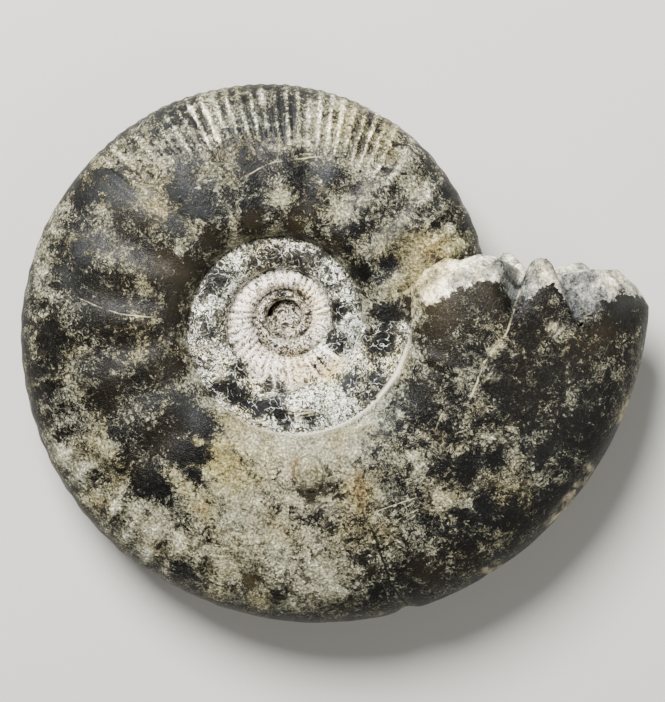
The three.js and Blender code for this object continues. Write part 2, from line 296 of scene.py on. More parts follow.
# Calcite veins: half width, then the places that each runs through
VEINS = [
    (0.24, [(75, 9), (72, 0), (70, -6), (66, -11), (63, -15), (61, -21), (59, -26)]),
    (0.2, [(50, -31), (48, -36), (44, -39)]),
    (0.2, [(52, -57), (45, -61), (40, -65)]),
    (1.7, [(98.2, -49.3), (92.5, -59.3), (84.5, -69.7)]),
    (1.2, [(110.1, -27), (107.1, -37)]),
    (1.6, [(63.4, -85.4), (69.4, -82)]),
    (0.13, [(28, -63), (36, -60), (45, -57)]),
    (0.13, [(35, -66), (42, -62), (50, -58)]),
    (0.14, [(-66, 5), (-60, 2.5), (-52, 0), (-42, -1)]),
    (0.15, [(-12, 44), (-4, 48), (3, 49), (12, 50)]),
    (0.22, [(-11, -28), (-6, -27), (1, -25.5), (6, -23)]),
    (0.22, [(0, -31), (8, -31), (12, -29), (18, -29.5), (22, -27), (28, -24)]),
    (0.2, [(2, -34), (7, -33), (12, -32), (16, -34)]),
    (0.2, [(-12, -19), (-6, -20.5), (0, -21.5), (6, -22)]),
    (0.2, [(19, -7), (22, -13), (24, -19), (25, -25)]),
    (0.2, [(-19, -6), (-17, -10), (-13, -15), (-9, -19)]),
    (0.2, [(-30, -11), (-26, -11), (-22, -10)]),
]
VEIN_ENDS = (-1, 2)  # how a vein comes in at its ends
VEIN_REACH = (1.5, 3)  # and how far out it may wander, in millimetres
FULLY_PALE = 1.1  # patches that overlap add up to no more than this
FULLY_DARK = 2.2
FULLY_YELLOW = 1.6
FAR_SIDE_TURN = 140  # degrees that the patches are turned by on the far flank
FLANKS_MEET = (-4, 4)  # heights between which one flank's patches give way to the other's
MIDDLE_WHORLS = (-4, 2)  # growths between which the whorls inside the last one begin
INNER_WHORLS = (-415, -385)  # and those of the coil's ribbed middle
SUTURES = {"pitch": 17.5, "lobes": [(2.5, 0.35, 0), (6, 0.2, 1), (13, 0.08, 2)]}
# How far up the chamber wall the dark flank climbs, by place across
WALL_EDGE = [
    (0, -1), (0.06, -3.4), (0.11, -3.4), (0.17, -1.2), (0.23, 0.6), (0.3, 3), (0.34, 5), (0.39, 6),
    (0.43, 1.6), (0.51, -0.2), (0.59, 4), (0.64, 2.4), (0.68, 1.6), (0.73, 3.6), (0.79, 2.4),
    (0.85, 1.8), (0.89, 4.4), (0.92, 5.4), (1, 3.5),
]
# How far the painted shade of a seam reaches onto the whorl inside it, and how far near the middle,
# where it also stands for the stone's black ring
SEAM_SHADOW = {"reach": 0.7, "at_middle": 1.5, "middle": (-760, -680)}
# The bead where the last whorl's wall meets the whorl inside, and the painted highlight along it
UMBILICAL_BEAD_AND_HIGHLIGHT = {"across": 0.014, "width": 0.005, "height": 0.3,
                  "starts": (225, 320), "ends": (346, 358)}
# Painted light: the wall round the umbilicus lies in shade and is painted paler against it
UMBILICAL_WALL_LIGHT = {"pale_and_lit": 0.7, "across": (0, 0.16)}  # the wall round the umbilicus is paler
# How grey the bare ground of the whorls in the umbilicus is, and where it is too dark for that
SILVER = {"strength": 0.35, "pale_and_lit": (-0.9, -0.3)}
# Painted shade in the valleys of the chamber wall: how much wider than in the relief, and where it
# comes and goes
VALLEY_SHADE = {"spread": 1.8, "comes": (-4, 2), "goes": (10, 26)}
LINE_REACH = 12  # half widths from a line's middle that its distance is still told for
CRACK = {"half_width": 0.35, "ends": (-1, 5),
         "line": [(26, -65), (29, -71), (31, -78), (33, -84), (34, -88), (38, -94), (41, -100)]}

# The stage: places from the stone's middle in metres, and shares of the main light's power
LIGHTS = {"key": {"place": (-0.35, 0.8, 0.95), "size": 0.6, "share": 1},
          "fill": {"place": (0.8, -0.5, 0.9), "size": 0.9, "share": 0.1}}
SKY = {"Color": (1, 0.99, 0.97, 1), "Strength": 0.22}
FLOOR_REACH = 3
VIEW_MIDDLE = (-0.3, 1.6, 0)  # where the camera looks, in millimetres from the stone's middle


def smoothstep(value, low, high):
    t = np.clip((value - low) / (high - low), 0, 1)
    return t * t * (3 - 2 * t)


def linear(hexcode):
    """An sRGB hex colour as linear red, green and blue."""
    parts = [int(hexcode[i:i + 2], 16) / 255 for i in (1, 3, 5)]
    return tuple(c / 12.92 if c <= 0.04045 else ((c + 0.055) / 1.055) ** 2.4 for c in parts)


# The coil's shape

def grown(rule, growth):
    return rule["last"] * rule["per_turn"] ** ((growth - END_GROWTH) / 360)


def seam_radius(growth):
    turn = np.radians(growth - UMBILICUS_SHIFT["towards"])
    return grown(SEAM_RADIUS, growth) * (1 + UMBILICUS_SHIFT["share"] * np.cos(turn))


def section_outline(upper, lower):
    """The section as shares of its height and half thickness, up one flank and down the other."""
    sides = []
    for points, way in ((upper, 1), (lower, -1)):
        wall = max(2, round(points * WALL_SHARE_OF_POINTS))
        t = np.radians(90 * np.arange(wall) / wall)
        phi = np.radians(90 * np.arange(points - wall + 1) / (points - wall))
        out = SHOULDER + (1 - SHOULDER) * np.sin(phi) ** (2 / FLANK_POWER)
        across = np.append(SHOULDER * (1 - np.cos(t)), out)
        up = np.append(WALL_FOOT + (1 - WALL_FOOT) * np.sin(t), np.cos(phi))
        sides.append(np.column_stack([across, way * up]))
    return np.vstack([sides[0], sides[1][-2::-1]])


def rib_relief(growth, across):
    """How high the ribs and folds are at places on the whorls, and how much of a crest each is."""
    height = np.zeros(np.broadcast(growth, across).shape)
    crest = np.zeros_like(height)
    for ribs in RIBS:
        shown = smoothstep(growth, ribs["from"], ribs["from"] + RIB_ENDS) * (
            1 - smoothstep(growth, ribs["to"] - RIB_ENDS, ribs["to"]))
        if ribs["across"] > 0:
            shown = shown * smoothstep(across, ribs["across"], ribs["across"] + RIB_RISE)
        shown = shown * (1 - RIB_FADE["share"] * smoothstep(across, *RIB_FADE["across"]))
        slant = growth - RIB_SLANT * across
        short, long = (slant * wave for wave in RIB_UNEVEN["waves"])
        uneven = 1 - RIB_UNEVEN["share"] + RIB_UNEVEN["share"] * np.sin(short) * np.sin(long + 1)
        wave = np.cos(2 * np.pi * slant / ribs["pitch"])
        height += ribs["height"] * shown * uneven * wave
        crest += ribs["worn"] * shown * uneven * (0.5 + 0.5 * wave) ** ribs["narrow"]
    along = smoothstep(growth, *FOLDS["starts"]) * (1 - smoothstep(growth, *FOLDS["ends"]))
    fold = np.cos(2 * np.pi * growth / FOLDS["pitch"]) * np.sin(np.pi * across)
    return height + FOLDS["height"] * along * fold, crest


def section_points(growth, outline, rib_scale=0.0, share=1.0, forward=0.0):
    """Where the section at this growth has its points. Share 1 is its outline, 0 its middle."""
    across, up = outline.T
    inner = seam_radius(growth)
    height = grown(VENTER_RADIUS, growth) - inner
    raised = rib_scale * rib_relief(growth, across)[0]
    radius = inner + height * (0.5 + (across - 0.5) * share) + raised * across
    turn = math.radians(growth)
    return np.column_stack([
        radius * math.cos(turn) - forward * math.sin(turn),
        radius * math.sin(turn) + forward * math.cos(turn),
        grown(HALF_THICKNESS, growth) * up * share + raised * up,
    ])


def valley_depth(across, upper, spread=1):
    """How deep in a valley of the broken end each place is, from 0 to 1, on the side it lies on."""
    depth = {}
    for side, rows in VALLEYS.items():
        each = [share * np.exp(-(((across - at) / (spread * width)) ** 2))
                for at, width, share in rows]
        depth[side] = np.max(each, axis=0)
    return np.where(upper, depth["upper"], depth["lower"])


def end_forward(along, outline):
    """How far the chamber wall stands forward on one ring, and the ring's share of the section.
    Along is the ring's place, from 0 at the edge of the wall to 1 at its middle."""
    across, up = outline.T
    stops = np.linspace(0, 1, len(END_SHARES))
    share = np.interp(along, stops, END_SHARES)
    broad = valley_depth(across, up >= 0, VALLEY_SHOULDER["spread"])
    valley = valley_depth(across, up >= 0)
    valley += VALLEY_SHOULDER["share"] * (broad - valley)
    pillow = np.interp(along, stops, PILLOW_FORWARD)
    deep = np.interp(along, stops, VALLEY_FORWARD)
    middle = np.exp(-((across - MIDDLE_PILLOW["across"]) / MIDDLE_PILLOW["width"]) ** 2)
    fallen = 1 - smoothstep(across, INNER_PILLOW["from"], INNER_PILLOW["to"])
    pillow = pillow + MIDDLE_PILLOW["height"] * middle - INNER_PILLOW["low"] * fallen
    flutes = FLUTES["height"] * np.cos(2 * np.pi * FLUTES["count"] * across)
    flutes = flutes * smoothstep(share, *FLUTES["from"]) * broad
    return share, pillow + (deep - pillow) * valley + flutes - END_SLANT * (across - 0.5) * share


def whorl_rings(stretch, rib_scale):
    """One stretch of whorl: its rings of points, its two poles, and the growth, the place across
    and the reach of each point. Reach is how far past the edge of the broken end a point lies."""
    outline = section_outline(stretch["upper"], stretch["lower"])
    growths = list(np.linspace(stretch["from"], stretch["to"], stretch["rings"] + 1))
    rings = [section_points(g, outline, rib_scale) for g in growths]
    broken = stretch["to"] == END_GROWTH
    if broken:
        for along in np.linspace(0, 1, END_RINGS)[:-1]:
            share, forward = end_forward(along, outline)
            rings.append(section_points(END_GROWTH, outline, 0, share, forward))
            growths.append(END_GROWTH)
        poles = [section_points(stretch["from"], outline, share=0)[0], rings[-1].mean(axis=0)]
    else:
        inside = stretch["to"] + PLUG["turn"]
        rings.append(section_points(inside, outline, share=PLUG["share"]))
        growths.append(inside)
        poles = [section_points(g, outline, share=0)[0] for g in (stretch["from"], inside)]
    rings = np.array(rings)
    reach = np.full(rings.shape[:2], -REACH_TOLD)
    if broken:
        steps = np.linalg.norm(np.diff(rings, axis=0), axis=2)
        travelled = np.vstack([np.zeros(len(outline)), np.cumsum(steps, axis=0)])
        reach = np.clip(travelled - travelled[stretch["rings"] + 1], -REACH_TOLD, REACH_TOLD)
    growth = np.repeat(np.array(growths)[:, None], len(outline), axis=1)
    across = np.repeat(outline[None, :, 0], len(rings), axis=0)
    return rings, poles, {"growth": growth, "across": across, "reach": reach}


def whorl_ball(stretch, rib_scale):
    """One stretch of whorl as a closed object: a ball whose parallels are moved onto its rings."""
    rings, poles, marks = whorl_rings(stretch, rib_scale)
    rows, columns = rings.shape[:2]
    bm = bmesh.new()
    bmesh.ops.create_uvsphere(bm, u_segments=columns, v_segments=rows + 1, radius=1)
    layers = {mark: bm.verts.layers.float.new(mark) for mark in (*MARKS, "known")}
    face_points = []
    for vert in bm.verts:
        x, y, z = vert.co
        row = round(math.atan2(math.hypot(x, y), -z) / math.pi * (rows + 1)) - 1
        column = round(math.atan2(y, x) / (2 * math.pi) * columns) % columns
        at_pole = row in (-1, rows)
        vert.co = poles[row == rows] if at_pole else rings[row, column]
        if row > stretch["rings"] + 1:
            face_points.append(vert)
        for mark in MARKS:
            vert[layers[mark]] = marks[mark][min(max(row, 0), rows - 1), column]
        vert[layers["known"]] = 1
    if stretch["to"] == END_GROWTH:
        for _ in range(END_SMOOTHINGS):
            bmesh.ops.smooth_vert(bm, verts=face_points, factor=0.5, use_axis_x=True,
                                  use_axis_y=True, use_axis_z=True)
    return whole_object("whorl", bm)


def first_chamber():
    """The small knob at the middle of the coil."""
    radius = FIRST_CHAMBER["radius"]
    bm = bmesh.new()
    bmesh.ops.create_uvsphere(bm, u_segments=FIRST_CHAMBER["segments"],
                              v_segments=FIRST_CHAMBER["rows"], radius=radius)
    flat = FIRST_CHAMBER["half_thickness"] / radius
    bmesh.ops.scale(bm, vec=(1, 1, flat), verts=bm.verts)
    return whole_object("first_chamber", bm)


def whole_object(name, bm):
    """A bmesh as an object in the scene, its faces pointing out."""
    if bm.calc_volume(signed=True) < 0:
        bmesh.ops.reverse_faces(bm, faces=bm.faces)
    mesh = bpy.data.meshes.new(name)
    bm.to_mesh(mesh)
    bm.free()
    part = bpy.data.objects.new(name, mesh)
    bpy.context.scene.collection.objects.link(part)
    return part


def joined(parts):
    """All parts as one closed mesh, with nothing left of their insides."""
    body = parts[0]
    for part in parts[1:]:
        union = body.modifiers.new("join", "BOOLEAN")
        union.operation = "UNION"
        union.solver = "MANIFOLD"
        union.object = part
    depsgraph = bpy.context.evaluated_depsgraph_get()
    mesh = bpy.data.meshes.new_from_object(body.evaluated_get(depsgraph))
    for part in parts:
        bpy.data.meshes.remove(part.data)
    return mesh


def tell_new_points(bm):
    """Gives the points made where parts met the marks of the nearest point that has them."""
    layers = {mark: bm.verts.layers.float[mark] for mark in (*MARKS, "known")}
    known = [vert for vert in bm.verts if vert[layers["known"]] == 1]
    tree = kdtree.KDTree(len(known))
    for index, vert in enumerate(known):
        tree.insert(vert.co, index)
    tree.balance()
    for vert in bm.verts:
        if vert[layers["known"]] != 1:
            nearest = known[tree.find(vert.co)[1]]
            for mark in MARKS:
                vert[layers[mark]] = nearest[layers[mark]]
    bm.verts.layers.float.remove(layers["known"])


def coil_mesh(rib_scale):
    """The whole coil in the shell's frame, as one closed mesh whose points carry their marks."""
    mesh = joined([whorl_ball(stretch, rib_scale) for stretch in STRETCHES] + [first_chamber()])
    bm = bmesh.new()
    bm.from_mesh(mesh)
    tell_new_points(bm)
    bmesh.ops.remove_doubles(bm, verts=bm.verts, dist=SLIVER)
    bmesh.ops.dissolve_degenerate(bm, edges=bm.edges, dist=SLIVER)
    bm.to_mesh(mesh)
    bm.free()
    return mesh


def on_drawing(places):
    """Where the places on the shell lie on the drawing of its flank."""
    return places[:, :2] * DRAWING["scale"] + np.array(DRAWING["shift"])


def read_points(mesh, kind="vertices"):
    """The places, or the normals, of a mesh's points."""
    values = np.empty(len(mesh.vertices) * 3)
    if kind == "normals":
        mesh.vertex_normals.foreach_get("vector", values)
    else:
        mesh.vertices.foreach_get("co", values)
    return values.reshape(-1, 3)


def read_mark(mesh, mark):
    values = np.empty(len(mesh.vertices))
    mesh.attributes[mark].data.foreach_get("value", values)
    return values


def give_mark(mesh, mark, values):
    layer = mesh.attributes.get(mark) or mesh.attributes.new(mark, "FLOAT", "POINT")
    layer.data.foreach_set("value", np.asarray(values, dtype=np.float32))


def line_distance(points, line):
    """Signed distance of each point from a line of stops, and how far inside its ends it lies."""
    line = np.array(line, dtype=float)
    steps = np.diff(line, axis=0)
    lengths = np.linalg.norm(steps, axis=1)
    starts = np.append(0, np.cumsum(lengths))
    distance = np.full(len(points), np.inf)
    inside = np.zeros(len(points))
    for start, step, length, before in zip(line, steps, lengths, starts):
        way = step / length
        along = (points - start) @ way
        gap = points - (start + np.clip(along, 0, length)[:, None] * way)
        side = np.where(way[0] * gap[:, 1] - way[1] * gap[:, 0] < 0, -1, 1)
        signed = side * np.linalg.norm(gap, axis=1)
        closer = np.abs(signed) < np.abs(distance)
        distance[closer] = signed[closer]
        inside[closer] = np.minimum(before + along, starts[-1] - before - along)[closer]
    return distance, inside


def umbilical_edge(growth, across):
    """How near each place is to the bead round the umbilicus."""
    starts, ends = UMBILICAL_BEAD_AND_HIGHLIGHT["starts"], UMBILICAL_BEAD_AND_HIGHLIGHT["ends"]
    shown = smoothstep(growth, *starts) * (1 - smoothstep(growth, *ends))
    return shown * np.exp(-((across - UMBILICAL_BEAD_AND_HIGHLIGHT["across"]) / UMBILICAL_BEAD_AND_HIGHLIGHT["width"]) ** 2)


def knob_away(places, growth):
    """How far each place is from the middle of the knob, in its radii, and 2 past that."""
    away = np.linalg.norm(on_drawing(places) - np.array(KNOB["middle"]), axis=1) / KNOB["radius"]
    return np.where((places[:, 2] > 0) & (growth > KNOB["after"]), np.minimum(away, 2), 2)


def weathered(places, normals, growth, across):
    """The points after the weather: dents and hollows, the knob, the fold and the rim's notch."""
    relief = np.zeros(len(places))
    for dents in DENTS:
        depth = [noise.noise(Vector(place) / dents["size"]) for place in places]
        relief += dents["depth"] * np.array(depth)
    away = knob_away(places, growth)
    bump = KNOB["height"] * (1 - smoothstep(away, KNOB["crown"], 1))
    ring = KNOB["ring_height"] * np.cos(2 * np.pi * KNOB["rings"] * away)
    relief += bump + ring * (1 - smoothstep(away, KNOB["shoulder"], 1))
    flat = on_drawing(places)
    upper = places[:, 2] > 0
    for x, y, radius, depth in HOLLOWS:
        away = np.linalg.norm(flat - np.array([x, y]), axis=1) / radius
        relief -= upper * depth * np.exp(-away ** 2)
    fold, inside = line_distance(flat, FOLD_LINE["line"])
    fold = np.exp(-(fold / FOLD_LINE["half_width"]) ** 2) * smoothstep(inside, *FOLD_LINE["ends"])
    relief += upper * FOLD_LINE["height"] * fold
    relief += upper * UMBILICAL_BEAD_AND_HIGHLIGHT["height"] * umbilical_edge(growth, across)
    off_notch = (growth - RIM_NOTCH["growth"]) / RIM_NOTCH["width"]
    notch = np.exp(-off_notch ** 2) * smoothstep(across, *RIM_NOTCH["across"])
    relief -= RIM_NOTCH["depth"] * notch
    return places + normals * relief[:, None]


def laid_down(places):
    """The points leaned as the stone lies, set on the floor and worn flat where they touch it."""
    across = math.radians(LEAN["towards"] + 90)
    axis = Vector((math.cos(across), math.sin(across), 0))
    lean = np.array(Matrix.Rotation(math.radians(LEAN["degrees"]), 3, axis))
    places = places @ lean.T
    low, high = places.min(axis=0), places.max(axis=0)
    places = places - np.array([*(low + high)[:2] / 2, low[2] + WORN_DEPTH])
    places[:, 2] = np.maximum(places[:, 2], 0)
    return places


# What each point knows of its finish

def patch_sum(flat, patches, of_tint=False):
    """What soft round patches add up to at each place, or what their tints do."""
    total = np.zeros(len(flat))
    for x, y, radius, strength, *tint in patches:
        away = np.linalg.norm(flat - np.array([x, y]), axis=1) / radius
        total += strength * (sum(tint) if of_tint else 1) * np.exp(-away ** 2)
    return total


def patch_marks(flat):
    """How pale, yellow, brown, slaty and stained each place is."""
    light = patch_sum(flat, PALE_PATCHES)
    dark = patch_sum(flat, DARK_PATCHES)
    return {
        "pale_and_lit": np.minimum(light, FULLY_PALE) - np.minimum(dark, FULLY_DARK),
        "yellow": np.minimum(patch_sum(flat, PALE_PATCHES, of_tint=True), FULLY_YELLOW),
        "brown": np.minimum(patch_sum(flat, DARK_PATCHES, of_tint=True), 1),
        "slate": np.minimum(patch_sum(flat, SLATE_PATCHES), 1),
        "stain": np.minimum(patch_sum(flat, STAINS), 1),
    }


def line_marks(flat):
    """The nearest vein and the crack: distance in half widths, and how strongly each shows."""
    vein = np.full(len(flat), np.inf)
    veined = np.zeros(len(flat))
    for half_width, line in VEINS:
        distance, inside = line_distance(flat, line)
        closer = np.abs(distance / half_width) < np.abs(vein)
        vein[closer] = (distance / half_width)[closer]
        shown = smoothstep(inside, *VEIN_ENDS) * (1 - smoothstep(np.abs(distance), *VEIN_REACH))
        veined[closer] = shown[closer]
    distance, inside = line_distance(flat, CRACK["line"])
    crack = distance / CRACK["half_width"]
    return {"vein": np.clip(vein, -LINE_REACH, LINE_REACH), "veined": veined,
            "crack": np.clip(crack, -LINE_REACH, LINE_REACH),
            "cracked": smoothstep(inside, *CRACK["ends"])}


def finish_marks(places, growth, across, reach):
    """All the marks that the finish reads. The far side has the near side's patches, turned."""
    flat = on_drawing(places)
    turn = math.radians(FAR_SIDE_TURN)
    spin = np.array([[math.cos(turn), -math.sin(turn)], [math.sin(turn), math.cos(turn)]])
    near = smoothstep(places[:, 2], *FLANKS_MEET)
    here, there = patch_marks(flat), patch_marks(flat @ spin)
    marks = {name: near * here[name] + (1 - near) * there[name] for name in here}
    marks.update(line_marks(flat))
    marks["veined"] = marks["veined"] * near
    marks["cracked"] = marks["cracked"] * near
    # Rib crests are paler: worn, and with a painted highlight and shade across the ribs
    marks["crest"] = rib_relief(growth, across)[1]
    marks["wall"] = reach - np.interp(across, *np.transpose(WALL_EDGE))
    marks["suture"] = growth / SUTURES["pitch"] + sum(
        height * np.sin(2 * np.pi * lobes * across + start)
        for lobes, height, start in SUTURES["lobes"])
    marks["middle_whorls"] = 1 - smoothstep(growth, *MIDDLE_WHORLS)
    marks["inner_whorls"] = 1 - smoothstep(growth, *INNER_WHORLS)
    # Painted shade along the seam where each whorl meets the next; only places inside the coil have
    # one
    from_seam = seam_radius(growth + 360) - np.linalg.norm(places[:, :2], axis=1)
    outer = smoothstep(growth, *SEAM_SHADOW["middle"])
    shadow = SEAM_SHADOW["at_middle"] + outer * (SEAM_SHADOW["reach"] - SEAM_SHADOW["at_middle"])
    marks["seam"] = np.exp(-(from_seam / shadow) ** 2) * (growth < 0)
    marks["knob"] = knob_away(places, growth)
    silver = smoothstep(marks["pale_and_lit"], *SILVER["pale_and_lit"])
    silver = SILVER["strength"] * marks["middle_whorls"] * silver
    marks["slate"] = np.maximum(marks["slate"], silver)
    # A painted highlight along the bead round the umbilicus
    marks["edge"] = umbilical_edge(growth, across)
    # Painted light on the shaded umbilical wall, added to the paleness of the weathered patches
    lit_wall = (1 - smoothstep(across, *UMBILICAL_WALL_LIGHT["across"])) * (growth > 0)
    marks["pale_and_lit"] += UMBILICAL_WALL_LIGHT["pale_and_lit"] * lit_wall
    # Painted shade in the valleys of the broken end
    valley = valley_depth(across, places[:, 2] > 0, VALLEY_SHADE["spread"])
    valley = valley * smoothstep(reach, *VALLEY_SHADE["comes"])
    marks["valley"] = valley * (1 - smoothstep(reach, *VALLEY_SHADE["goes"]))
    return marks


# The finish

# Lobes of frond, small to large: size as a share of the frond size, how many arms, how far the
# arms stand out, and how fast a lobe thins away from its middle
LOBES = [(0.16, 1.6, 1.1, 0.5), (0.4, 2.6, 2.0, 0.9), (1.0, 3.6, 3.4, 1.2), (2.6, 4.6, 2.2, 0.9)]
LOBE_DRIFTS = {"lobes": 3.5, "weight": 0.8}  # lobes gather in drifts this many lobes wide
# Sizes of the patterns in the stone, and how far places are pushed for two of them
PATTERN = {"grain": 0.8, "curl": 1.3, "frill": 2.2, "shake": 2.5, "net": 3.4, "push": 5,
           "mottle": 6, "drift": 16}
PUSHED = {"fronds": 5, "net": 8}
TONES = ("#040403", "#454337", "#807e6a", "#fdfdf6")  # black, two between ground and frond, white
WALL_TONES = ("#0f0e0b", "#2d2c29", "#63625b", "#a19c8b", "#dad3bf", "#fffdf4")
TONE_STOPS = (0.0, 0.16, 0.42, 0.68, 0.85, 0.96)  # where each set of colours lies, dark to light


def add(tree, kind, inputs=None, out=0, **settings):
    """Adds a shader node with its settings and inputs. Returns one output, or the node for None."""
    node = tree.nodes.new("ShaderNode" + kind)
    for name, value in settings.items():
        setattr(node, name, value)
    for name, value in (inputs or {}).items():
        if isinstance(value, bpy.types.NodeSocket):
            tree.links.new(value, node.inputs[name])
        else:
            node.inputs[name].default_value = value
    return node if out is None else node.outputs[out]


def summed(tree, start, parts):
    """Start plus each part's value times its scale, the value first taken from its middle."""
    total = start
    for value, scale, middle in parts:
        part = add(tree, "Math", {0: value, 1: scale, 2: -scale * middle}, operation="MULTIPLY_ADD")
        total = add(tree, "Math", {0: total, 1: part})
    return total


def strokes(tree, value, middle, outside, inside):
    """Strokes where a value passes its middle: 0 further off than outside, 1 nearer than inside."""
    away = add(tree, "Math", {0: value, 1: middle}, operation="SUBTRACT")
    away = add(tree, "Math", {0: away}, operation="ABSOLUTE")
    return add(tree, "MapRange", {"Value": away, "From Min": outside, "From Max": inside})


def toned(tree, tone, colours):
    """The colour for each tone from 0 to 1, by its linear colours from dark to light."""
    ramp = add(tree, "ValToRGB", {"Fac": tone}, out=None)
    stops = ramp.color_ramp.elements
    while len(stops) < len(TONE_STOPS):
        stops.new(0.5)
    for stop, position, colour in zip(stops, TONE_STOPS, colours):
        stop.position = position
        stop.color = (*colour, 1)
    return ramp.outputs["Color"]


def frond_field(tree, marks, moved, frond_size):
    """How far inside a frond each place is; the edge is at zero. Lobes stand on larger lobes, as
    frilled sutures branch. Each is judged at its own middle, so it shows whole or not at all."""
    here = moved
    parts = []
    for share, arms, height, spread in LOBES:
        size = frond_size * share
        cell = add(tree, "TexVoronoi", {"Vector": here, "Scale": 1 / size}, out=None)
        middle = cell.outputs["Position"]
        local = add(tree, "VectorMath", {0: here, 1: middle}, operation="SUBTRACT")
        way = add(tree, "VectorMath", {0: local}, operation="NORMALIZE")
        turned = add(tree, "VectorMath", {0: way, 1: (arms,) * 3, 2: middle},
                     operation="MULTIPLY_ADD")
        arm = add(tree, "TexNoise", {"Vector": turned, "Scale": 1, "Detail": 1})
        parts += [(arm, height, 0.5), (cell.outputs["Distance"], -spread, 0.5)]
        wide = size * LOBE_DRIFTS["lobes"]
        drift = add(tree, "TexNoise", {"Vector": middle, "Scale": 1 / wide})
        parts.append((drift, LOBE_DRIFTS["weight"], 0.5))
        here = middle
    wave = add(tree, "Math", {0: marks["suture"], 1: 2 * math.pi}, operation="MULTIPLY")
    wave = add(tree, "Math", {0: wave}, operation="SINE")
    parts += [(wave, 0.12, 0), (marks["pale_and_lit"], 0.95, 0), (marks["crest"], 1.0, 0.35),
              (marks["middle_whorls"], 0.3, 0), (marks["inner_whorls"], 0.5, 0)]
    return summed(tree, 0.2, parts)


def shared_patterns(tree):
    """The patterns that several parts of the finish are drawn with, by name."""
    place = add(tree, "VectorMath", {0: add(tree, "TexCoord", out="Object"), 1: (1 / MM,) * 3},
                operation="MULTIPLY")
    # Places pushed about, so that no pattern runs straight
    push = add(tree, "TexNoise", {"Vector": place, "Scale": 1 / PATTERN["push"], "Detail": 3},
               out="Color")
    moved, tangled = (
        add(tree, "VectorMath", {0: push, 1: (PUSHED[use],) * 3, 2: place},
            operation="MULTIPLY_ADD") for use in ("fronds", "net"))
    # Lace: curly strokes finer than the lobes, under 2 mm apart
    curl = add(tree, "TexNoise", {"Vector": moved, "Scale": 1 / PATTERN["curl"], "Detail": 1.5,
                                  "Distortion": 1.2})
    return {
        "place": place, "moved": moved, "tangled": tangled,
        "lace": strokes(tree, curl, 0.5, 0.1, 0.01),
        "grain": add(tree, "TexNoise", {"Vector": place, "Scale": 1 / PATTERN["grain"],
                                        "Detail": 2}),
        "mottle": add(tree, "TexNoise", {"Vector": moved, "Scale": 1 / PATTERN["mottle"],
                                         "Detail": 4, "Roughness": 0.65}),
        "frill": add(tree, "TexNoise", {"Vector": place, "Scale": 1 / PATTERN["frill"],
                                        "Detail": 3, "Distortion": 0.8}),
    }


def stone_tone(tree, marks, patterns, frond_size):
    """Where the fronds lie, and how light the stone is, fronds and ground."""
    lace, grain, mottle = (patterns[name] for name in ("lace", "grain", "mottle"))
    field = frond_field(tree, marks, patterns["moved"], frond_size)
    # Strokes at a frond's edge stand out into the ground
    edge = summed(tree, field, [(lace, 0.3, 0.4)])
    frond = add(tree, "MapRange", {"Value": edge, "From Min": -0.06, "From Max": 0.12},
                interpolation_type="SMOOTHSTEP")
    halo = add(tree, "MapRange", {"Value": field, "From Min": -1.1, "From Max": 0.2},
               interpolation_type="SMOOTHSTEP")
    # Fronds are faint where the stone stayed dark
    zone = summed(tree, marks["pale_and_lit"], [(mottle, 2.4, 0.5), (marks["middle_whorls"], 0.85, 0),
                                        (marks["inner_whorls"], 0.25, 0)])
    zone = add(tree, "MapRange", {"Value": zone, "From Min": -1, "From Max": 1.2},
               interpolation_type="SMOOTHSTEP")
    depth = add(tree, "Math", {0: zone, 1: 2.0}, operation="POWER")
    # Where the stone weathered pale it is etched, a fine pepper and salt
    pepper = summed(tree, 0.0, [(grain, 1, 0.5)])
    etched = add(tree, "Math", {0: pepper, 1: depth}, operation="MULTIPLY")
    ground_tone = summed(tree, 0.0, [(halo, 0.15, 0), (depth, 0.35, 0), (grain, 0.4, 0.5),
                                     (etched, 0.7, 0), (mottle, 0.5, 0.5)])
    frond_tone = summed(tree, 0.13, [(zone, 0.55, 0), (grain, 0.9, 0.5), (mottle, 0.5, 0.5)])
    tone = add(tree, "Mix", {0: frond, 2: ground_tone, 3: frond_tone})
    # Strokes of lace, which are worn away where the stone is palest, but not inside the coil
    stroke = summed(tree, 0.06, [(halo, 0.1, 0), (frond, 0.3, 0), (marks["middle_whorls"], 0.2, 0)])
    curls = add(tree, "Math", {0: lace, 1: 0.4}, operation="SUBTRACT")
    worn = add(tree, "Math", {0: depth, 1: -0.75, 2: 1.0}, operation="MULTIPLY_ADD")
    worn = add(tree, "Math", {0: worn, 1: marks["middle_whorls"]}, operation="MAXIMUM")
    for share in (curls, worn):
        stroke = add(tree, "Math", {0: stroke, 1: share}, operation="MULTIPLY")
    # Rib crests lighter: worn paler, and with a painted highlight
    return frond, summed(tree, tone, [(stroke, 1, 0), (marks["crest"], 0.42, 0.2),
                                      (marks["middle_whorls"], 0.03, 0),
                                      (marks["inner_whorls"], -0.1, 0)])


# A tint is a row: the masks that it lies under, its strength, its colour and how it blends

def ground_tints(tree, marks, patterns, frond):
    """Broad drifts of colour, warm and cool, and the colours of what is bare of fronds."""
    drift = add(tree, "TexNoise", {"Vector": patterns["place"], "Scale": 1 / PATTERN["drift"],
                                   "Detail": 3}, out="Color")
    drift = add(tree, "SeparateColor", {"Color": drift}, out=None)
    warm, cool = (
        add(tree, "MapRange", {"Value": drift.outputs[part], "From Min": low, "From Max": high})
        for part, low, high in (("Red", 0.48, 0.66), ("Blue", 0.5, 0.68)))
    bare = add(tree, "Math", {0: 1.0, 1: frond}, operation="SUBTRACT")
    return [
        ([warm], 0.6, "#efe0b4", "MULTIPLY"),
        ([cool], 0.6, "#d7e0e8", "MULTIPLY"),
        # smooth blue-grey ground, and brown ground
        ([marks["slate"], bare], 0.75, "#242626", "MIX"),
        ([marks["brown"], bare], 0.45, "#413722", "MIX"),
        # cool pink-grey of the inner whorls
        ([marks["inner_whorls"]], 0.55, "#ecd6c8", "MULTIPLY"),
    ]


